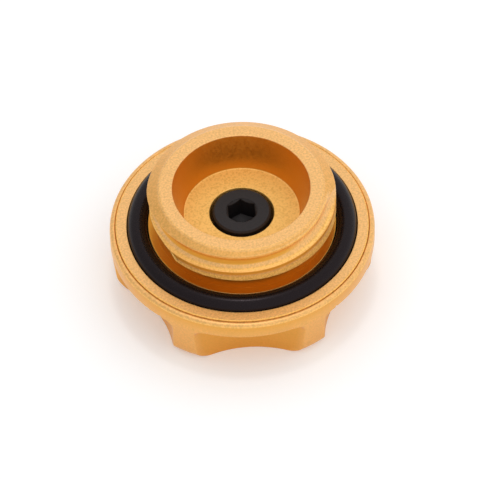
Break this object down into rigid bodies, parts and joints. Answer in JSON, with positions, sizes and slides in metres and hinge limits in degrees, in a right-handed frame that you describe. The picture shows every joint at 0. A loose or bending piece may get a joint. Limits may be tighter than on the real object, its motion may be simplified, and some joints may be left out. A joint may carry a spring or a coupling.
{
  "type": "oil filler cap",
  "caption": "Screw-in oil filler cap with a scalloped grip, a coarse external thread, a rubber sealing ring and a central socket head screw.",
  "frame": {"origin": "centre of the flat face of the grip, on which the cap stands with its thread upwards", "axes": "+Z along the cap's axis from the grip towards the thread; -Y is the front, through the middle of a scallop"},
  "size_m": [0.0592, 0.0592, 0.0277],
  "materials": {
    "gold_anodised": "fine bead blasted, gold anodised, satin",
    "black_rubber": "smooth moulded, slightly oily sheen",
    "black_oxide": "black oxide steel, matt"
  },
  "bodies": {
    "root": {"grip_cap": "gold_anodised", "threaded_plug": "gold_anodised", "o_ring": "black_rubber", "centre_screw": "black_oxide"}
  },
  "joints": []
}
